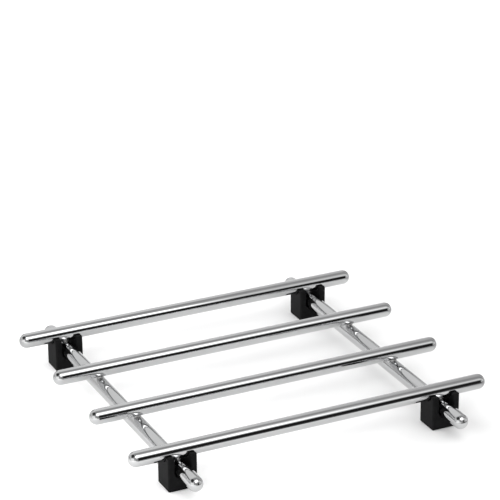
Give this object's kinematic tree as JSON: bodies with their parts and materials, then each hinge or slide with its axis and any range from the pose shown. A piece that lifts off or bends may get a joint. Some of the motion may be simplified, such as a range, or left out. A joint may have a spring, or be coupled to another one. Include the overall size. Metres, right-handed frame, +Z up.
{
  "type": "pot stand",
  "caption": "Square stand for a hot pot: round chrome rods with domed ends lie across crossbars and are welded to them, on black block feet clipped over the outer crossings.",
  "frame": {"origin": "centre of the stand's footprint, on the plane of the foot soles", "axes": "+X along the long rods, +Y along the crossbars to the back, +Z up"},
  "size_m": [0.2, 0.2, 0.0229],
  "materials": {
    "chrome": "bright polished chrome plate on solid steel rod",
    "weld": "small weld spot under the chrome plate",
    "foot": "matt black moulded plastic"
  },
  "bodies": {
    "root": {"long_rod_front": "chrome", "long_rod_inner_front": "chrome", "long_rod_inner_back": "chrome", "long_rod_back": "chrome", "crossbar_left": "chrome", "crossbar_right": "chrome", "weld_left_front": "weld", "weld_left_inner_front": "weld", "weld_left_inner_back": "weld", "weld_left_back": "weld", "weld_right_front": "weld", "weld_right_inner_front": "weld", "weld_right_inner_back": "weld", "weld_right_back": "weld", "foot_front_left": "foot", "foot_back_left": "foot", "foot_front_right": "foot", "foot_back_right": "foot"}
  },
  "joints": []
}
